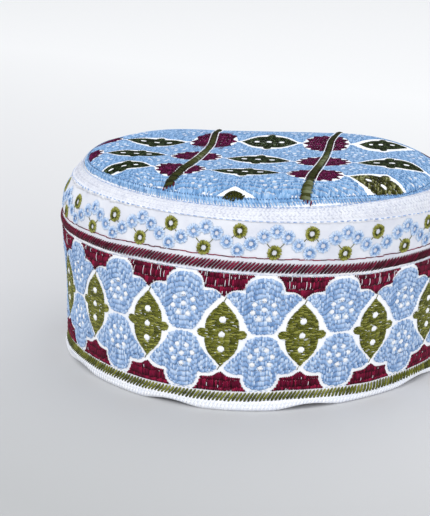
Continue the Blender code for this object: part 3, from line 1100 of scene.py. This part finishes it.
def at_spots(rows, spots):
    """Copies of a motif at lattice spots, which are (x, y, share of its width, of its height)."""
    base = np.asarray(rows, dtype=float)
    copies = []
    for x, y, wide, tall in spots:
        made = base.copy()
        made[:, [0, 2]] = made[:, [0, 2]] * wide + x
        made[:, [1, 3]] = made[:, [1, 3]] * tall + y
        made[:, 6] += dice.uniform(-0.2, 0.2, len(base))
        copies.append(made)
    return inside_edge(np.concatenate(copies), CROWN_EDGE)


# The embroiderer drew a few motifs wider or taller than the rest, by (column, row)
ODD_SIZES = {(2, 1): (0.8, 0.9), (0, 1): (1.0, 1.05), (-1, 1): (1.0, 1.45), (1, 1): (1.0, 1.1)}
# Nothing is sewn at these, apart from the tip of an eye at the front edge
LEFT_OUT = ((-2, -2), (0, -2), (-3, -1))
eye_spots = []
star_spots = []
plain_spots = []
for column in range(-3, 4):
    for row in range(-3, 4):
        if (column, row) in LEFT_OUT:
            continue
        spot = (COLUMN * column, ROW_START + ROW * row, *ODD_SIZES.get((column, row), (1.0, 1.0)))
        # The rows that run out at the front and back edges are sewn in the flowers' blue
        if row > 1 or row < -1:
            plain_spots.append(spot)
        else:
            (star_spots if column % 2 else eye_spots).append(spot)
cell_spots = []
for column in range(-3, 3):
    for row in range(-3, 3):
        mirror = -1.0 if column % 2 else 1.0
        cell_spots.append((COLUMN * (column + 0.5), ROW_START + ROW * (row + 0.5), mirror, 1.0))

# %% Crown eyes
crown_eye = [(1.04 * v, 1.12 * u) for u, v in mirrored(eye_right)]
crown_dots = [(1.04 * v, u, 1.25) for u, v, radius in eye_dots]
crown_eye_threads = {"pitch": 0.66, "tier": 3.4, "width": 0.8, "arch": 0.15}
crown_eye_rows = fill(crown_eye, crown_dots, **crown_eye_threads, stagger=0.5)
# The eye at the right front catches more light, so it is painted in a paler copy of the moss
# thread, with painted glints
bright_spots = [(2 * COLUMN, ROW_START - ROW, 1.0, 1.0)]
dark_spots = [spot for spot in eye_spots if spot not in bright_spots]
crown_eyes = at_spots(crown_eye_rows, dark_spots)
sew("moss_crown_eyes", crown_eyes, on_pattern, MOSS_THREAD)
bright_eye = at_spots(crown_eye_rows, bright_spots)
sew("moss_crown_eye_painted_light", bright_eye, on_pattern, GLINT_MOSS_THREAD)
# Only the tip of one eye shows at the front edge, between the border's stitches
front_tip = [
    (-8.6, -83.0), (-7.0, -81.9), (-5.2, -80.8), (-3.2, -80.5), (-1.0, -81.2),
    (1.4, -82.2), (0.6, -83.6), (-4.0, -84.0),
]
tip_rows = fill(front_tip, [], pitch=0.5, tier=2.0, width=0.6, arch=0.5)
# The tip takes the moss with painted glints, its shade halved
tip_rows = [(*row[:6], 0.5 * row[6]) for row in tip_rows]
sew("olive_front_tip", tip_rows, on_crown, GLINT_MOSS_THREAD)

# %% Crown stars
star = []
patch = []
for k in range(28):
    angle = 2 * math.pi * k / 28
    across, up = math.cos(angle), math.sin(angle)
    boxy = (abs(across) ** 2.6 + abs(up) ** 2.6) ** (-1 / 2.6)
    tooth = 1.12 if k % 2 == 0 else 0.87
    wide = 10.1 * boxy * tooth + 0.8 * abs(across) ** 12
    star.append((wide * across, 12.9 * boxy * tooth * up))
    patch.append((16.5 * boxy * across, 15.5 * boxy * up))
star_rows = fill(star, [], pitch=0.62, tier=3.2, width=0.74, arch=0.15, stagger=0.4)
crown_stars = at_spots(star_rows, star_spots)
patch_rows = fill(patch, [], pitch=0.66, tier=3.2, width=0.78, arch=0.12)
edge_rows = at_spots(patch_rows, plain_spots)
sew("blue_edge_rows", edge_rows, on_pattern, SKY_THREAD)
sew("plum_crown_stars", crown_stars, on_pattern, PLUM_THREAD)

# %% Crown flowers
flower_edge = [
    (-14.7, 6.1), (-11.4, 8.9), (-7.6, 11.1), (-4.0, 14.2), (-1.5, 17.6),
    (0.4, 20.0), (2.3, 20.6), (2.8, 17.4), (3.7, 14.1), (5.5, 11.2), (8.2, 9.0),
    (11.4, 7.6), (14.7, 7.1),
]
upper_edge = [(x, y - 0.45) for x, y in flower_edge]
crown_flower = upper_edge + [(x, -y) for x, y in reversed(upper_edge)]
flower_dots = [(0.0, 0.0, 0.75)]
for k in range(7):
    angle = 2 * math.pi * k / 7 + 0.4
    flower_dots.append((5.0 * math.cos(angle), 5.6 * math.sin(angle), 0.75))
crown_threads = {"pitch": 0.66, "tier": 3.2, "width": 0.78, "arch": 0.15}
crown_flower_rows = fill(crown_flower, flower_dots, **crown_threads, bow=0.01, over=0.05)
flowers = at_spots(crown_flower_rows, cell_spots)


def outside_lens(rows, x, y, half_length, half_height):
    """Keeps the stitches that don't lie in the pointed oval left white round an eye."""
    middle_x = (rows[:, 0] + rows[:, 2]) / 2 - x
    middle_y = (rows[:, 1] + rows[:, 3]) / 2 - y
    share = np.clip(np.abs(middle_x) / half_length, 0.0, 1.0)
    return rows[np.abs(middle_y) > half_height * (1.0 - share**1.4)]


flowers = outside_lens(flowers, 0.0, ROW_START - 2 * ROW, 12.0, 11.8)
front = flowers[:, 1] < 0.0
sew("blue_crown_flowers_front", flowers[front], on_pattern, SKY_THREAD)
sew("blue_crown_flowers_back", flowers[~front], on_pattern, SKY_THREAD)
crown_spots = at_spots(dots(crown_dots), eye_spots)
sew("white_crown_spots", crown_spots, on_pattern, WHITE_THREAD)
pale_spots = at_spots(dots(flower_dots, width=0.5), cell_spots)
sew("pale_crown_spots", pale_spots, on_pattern, PALE_THREAD)


# %% [markdown]
# ## Crown border
# Slanting stitches bind the crown's edge, and their outer ends run out like the teeth of a comb.


# %% Border of the crown
def on_ring(along, reach, lift):
    """A point on the crown, by its distance round the girth and its reach from the middle."""
    angle = angle_at(along)
    scale = plan_scale(angle)
    return on_crown(reach * scale * np.cos(angle), reach * scale * np.sin(angle), lift)


def inset(along):
    """How far the border stops short of the seam. Below zero it runs out over the welt."""
    angle = angle_at(along)
    left = 0.6 * bell(angle, math.radians(200), math.radians(42))
    front = 0.9 * bell(angle, math.radians(292), math.radians(11))
    return left + front - 1.3 * bell(angle, math.radians(324), math.radians(9))


def border(inner, outer, slant, count, width, arch, rough):
    """Slanting stitches between two reaches, with rough outer ends."""
    rows = []
    for k in range(count):
        u = GIRTH * k / count
        short = float(inset(u))
        near = inner + float(narrowing(angle_at(u))) + dice.uniform(-0.2, 0.2)
        far = outer - short + dice.uniform(-rough, rough)
        rows.append((u, near, u + slant, far, width, arch, dice.uniform(0.1, 0.9)))
    return rows


border_rows = border(84.5, 86.2, slant=1.8, count=720, width=0.85, arch=0.3, rough=0.15)
border_rows += border(85.6, 87.1, slant=1.2, count=400, width=0.85, arch=0.3, rough=0.25)
sew("blue_crown_border", border_rows, on_ring, SKY_THREAD)
# Thin dashes in dark slate, painted shade: they stand for the shade in the border's needle holes
needle_hole_shade_rows = border(84.7, 85.4, slant=0.9, count=400, width=0.34, arch=0.62, rough=0.1)
sew("slate_needle_hole_shade", needle_hole_shade_rows, on_ring, SLATE_MARKS_AND_SHADE)


# %% [markdown]
# ## Ribs
# Each rib is a cord with satin stitch wrapped over it, about one wrap every millimetre. The cord
# only has to keep light from passing between the wraps, so a plain squashed cylinder does.


# %% Cords and wraps
# Each line is (y, x) points, from the front to the back
LEFT_RIB = [
    (-72.6, -33.2), (-68.0, -31.2), (-62.0, -29.8), (-49.0, -28.7), (15.0, -27.7),
    (37.0, -28.9), (74.0, -31.5),
]
RIGHT_RIB = [
    (-77.3, 26.9), (-70.0, 27.7), (-61.0, 28.3), (-43.0, 28.9), (-1.0, 29.9),
    (30.0, 30.0), (45.0, 31.7), (74.0, 33.5),
]
CORD_RADIUS = 1.5
CORD_LENGTH = 148.0


def rib_line(line, y):
    """How far to the right of the middle a rib lies."""
    along, across = np.array(line).T
    return np.interp(y, along, across)


def taper(y):
    """A rib's width there, as a share of its width at the front."""
    return 1.0 - 0.33 * eased(y, -55.0, 55.0)


def rib(name, line, node_name):
    """A straight cord, cut into short lengths and then bent along its line on the crown."""
    bpy.ops.object.select_all(action="DESELECT")
    bpy.ops.mesh.primitive_cylinder_add(
        vertices=12, radius=CORD_RADIUS * MM, depth=CORD_LENGTH * MM
    )
    piece = bpy.context.active_object
    piece.name = name
    piece.data.name = name
    bpy.ops.object.mode_set(mode="EDIT")
    bpy.ops.mesh.select_all(action="SELECT")
    bpy.ops.transform.rotate(value=math.pi / 2, orient_axis="X", center_override=(0, 0, 0))
    for place in np.linspace(-72.0, 72.0, 37):
        bpy.ops.mesh.select_all(action="SELECT")
        bpy.ops.mesh.bisect(plane_co=(0, place * MM, 0), plane_no=(0, 1, 0))
    bpy.ops.object.mode_set(mode="OBJECT")
    points = places(piece)
    x, y, z = points.T
    front, back = line[0][0], line[-1][0]
    y = front + (y / CORD_LENGTH + 0.5) * (back - front)
    x = x * taper(y) + rib_line(line, y)
    set_places(piece, on_crown(x, y, 0.1 + 0.3 * (z + CORD_RADIUS) * taper(y) ** 2))
    shade = piece.data.attributes.new("shade", "FLOAT", "POINT")
    shade.data.foreach_set("value", np.full(len(points), 0.1))
    piece.data.uv_layers.active.name = "thread"
    return finish_piece(piece, RIB_THREAD, "olive_green_embroidery", node_name)


rib("left_rib_cord", LEFT_RIB, "crown_rib_left")
rib("right_rib_cord", RIGHT_RIB, "crown_rib_right")
wraps = []
edges = []
ends = []
for line, front_glint, lay in ((LEFT_RIB, 0.0, -0.5), (RIGHT_RIB, 0.4, 0.8)):
    front, back = line[0][0], line[-1][0]
    for y in np.arange(front - 0.3, back, 1.1):
        x = float(rib_line(line, y))
        thin = float(taper(y))
        # Painted highlight: the wraps are painted lighter along the middle of each rib, and the
        # right rib's front end gets a painted glint
        tone = 0.44 * math.exp(-(((y + 18.0) / 26.0) ** 2)) + dice.uniform(-0.1, 0.35)
        tone += front_glint * (y < front + 9.0)
        half = 1.85 * thin + 0.7 * (y < front + 8.0) + dice.uniform(-0.2, 0.25, 2)
        slant = lay + dice.uniform(-0.3, 0.3)
        arch = 1.2 * thin**2 + dice.uniform(-0.1, 0.2)
        wraps.append((x - half[0], y - slant, x + half[1], y + slant, 1.3, arch, tone))
    for side in (-1.0, 1.0):
        for y in np.arange(front + 8.0, back - 1.0, 2.6):
            x = float(rib_line(line, y)) + side * (0.35 + 2.0 * float(taper(y)))
            edges.append((x, y, x, y + dice.uniform(1.6, 2.6), 0.55, 0.4, dice.uniform(0.3, 1.0)))
    for step in (-2.2, -0.7, 0.8, 2.2):
        x = line[0][1] + step
        ends.append((x, front - 1.6, x + 0.5, front + 0.3, 0.6, 0.7, 0.5))
sew("rib_wraps", wraps, on_crown, RIB_THREAD)
sew("rib_edging", edges, on_crown, WHITE_THREAD)
sew("rib_end_knots", ends, on_crown, WINE_THREAD)

# %% [markdown]
# ## Welt stitching
# Fine white stitches cross the padded welt on the slant, and two blue running stitches mark where
# it meets the crown.

# %% Stitches on the welt
welt_rows = []
count = 300
for k in range(count):
    u = GIRTH * k / count
    tone = dice.uniform(0.0, 0.8, 5)
    slip = dice.uniform(-0.2, 0.2, 5)
    for i in range(5):
        way = 0.7 if i % 2 else -0.7
        up = 0.9 + 1.65 * i
        welt_rows.append((u + slip[i] - way, up, u + slip[i] + way, up + 1.5, 0.6, 0.22, tone[i]))
sew("white_welt_stitches", welt_rows, on_welt, PALE_THREAD)


def sagging(level, sag):
    """A running line on the welt that drops by sag for each millimetre of the border's inset."""
    rows = []
    for row in running(level, pitch=3.1, dash=2.7, width=0.34, arch=0.2):
        drop = sag * max(0.0, float(inset(row[0])))
        rows.append((row[0], row[1] - drop, row[2], row[3] - drop, *row[4:]))
    return rows


seam_rows = sagging(9.3, 0.3) + sagging(9.0, 1.0)
sew("slate_seam_stitches", seam_rows, on_welt, INK_THREAD)

# %% [markdown]
# ## Hem stitching
# Slanting white stitches wrap the rolled hem and give it its ribbed look, like a twisted cord.


# %% Slanting stitches on the hem
hem_rows = []
count = 330
for k in range(count):
    u = GIRTH * k / count
    tone = dice.uniform(0.5, 1.0, 2)
    hem_rows.append((u, 0.4, u + 1.5, 2.9, 0.8, 0.22, tone[0]))
    hem_rows.append((u + 1.3, 2.5, u + 2.8, 5.1, 0.8, 0.22, tone[1]))
sew("white_hem_stitches", hem_rows, on_rings, WHITE_THREAD)

# %% [markdown]
# ## Studio
# The cap stands on a plain floor whose colour is painted paler with distance and towards the right,
# as painted studio light. A large soft light from the upper left and a weaker one from the right
# give the gentle shading of a studio picture.

# %% Floor
bpy.ops.object.select_all(action="DESELECT")
bpy.ops.mesh.primitive_plane_add(size=4.0)
floor = bpy.context.active_object
floor.name = "studio_floor"
floor_material, floor_shader = new_material("matt_backdrop_paper_painted_light", 0.9, 0.0)
floor_place = node(floor_material, "ShaderNodeTexCoord").outputs["Object"]
turned_place = node(
    floor_material,
    "ShaderNodeMapping",
    [("Vector", floor_place)],
    Location=(0.0, 0.25, 0.0),
    Rotation=(0.0, 0.0, math.radians(30)),
)
depth = node(floor_material, "ShaderNodeSeparateXYZ", [("Vector", turned_place.outputs["Vector"])])
# Painted light: the floor's colour grows paler away from the camera and towards the right
painted_light_stops = ((0.05, "#B6B7B7"), (0.25, "#D4D4D5"), (0.85, "#F4F4F3"))
painted_floor_light = ramp(floor_material, depth.outputs["Y"], *painted_light_stops)
floor_material.node_tree.links.new(floor_shader.inputs["Base Color"], painted_floor_light)
floor.data.materials.append(floor_material)


# %% Lights
def soft_light(name, place, aim, size, power):
    data = bpy.data.lights.new(name, "AREA")
    data.shape = "DISK"
    data.size = size
    data.energy = power
    light = bpy.data.objects.new(name, data)
    bpy.context.scene.collection.objects.link(light)
    light.location = place
    light.rotation_euler = (Vector(aim) - Vector(place)).to_track_quat("-Z", "Y").to_euler()
    return light


soft_light("key", (-0.9, -1.2, 1.4), (0, 0, 0.05), 1.0, 13.0)
soft_light("fill", (0.9, -1.5, 0.5), (0, 0, 0.03), 1.2, 9.0)
soft_light("top", (0.1, 0.9, 1.6), (0, 0, 0.05), 1.2, 2.5)
world = bpy.data.worlds.new("studio")
world.use_nodes = True
world.node_tree.nodes["Background"].inputs["Color"].default_value = linear("#F0F2F6")
world.node_tree.nodes["Background"].inputs["Strength"].default_value = 0.96
bpy.context.scene.world = world
bpy.context.scene.view_settings.view_transform = "Standard"

# %% [markdown]
# ## Camera
# The camera stands three quarters of a metre off, 17 degrees above the cap and a little to its
# right. The angles and the distance were found by fitting rings round the cap to the photograph.

# %% Camera
AZIMUTH = math.radians(8.5)
ELEVATION = math.radians(16.637)
ROLL = math.radians(-0.3993)
DISTANCE = 750.03
AIM = Vector((-0.9, 0.0, 43.301))
AIM_ASIDE = -20.227
FOCAL_LENGTH = 106.98
FILM_WIDTH = 36.0
away = Vector(
    (
        math.sin(AZIMUTH) * math.cos(ELEVATION),
        -math.cos(AZIMUTH) * math.cos(ELEVATION),
        math.sin(ELEVATION),
    )
)
right = Vector((math.cos(AZIMUTH), math.sin(AZIMUTH), 0.0))
up = right.cross(-away)
place = right * AIM_ASIDE + AIM + away * DISTANCE
camera_data = bpy.data.cameras.new("camera")
camera_data.lens = FOCAL_LENGTH
camera_data.sensor_width = FILM_WIDTH
camera = bpy.data.objects.new("camera", camera_data)
bpy.context.scene.collection.objects.link(camera)
camera.location = place * MM
level_right = right * math.cos(ROLL) + up * math.sin(ROLL)
level_up = up * math.cos(ROLL) - right * math.sin(ROLL)
camera.rotation_euler = Matrix((level_right, level_up, away)).transposed().to_euler()
bpy.context.scene.camera = camera

# %% Measure and finish
total = sum(
    len(face.vertices) - 2
    for piece in bpy.data.objects
    if piece.type == "MESH" and not piece.hide_render
    for face in piece.data.polygons
)
print("triangles in all", total)
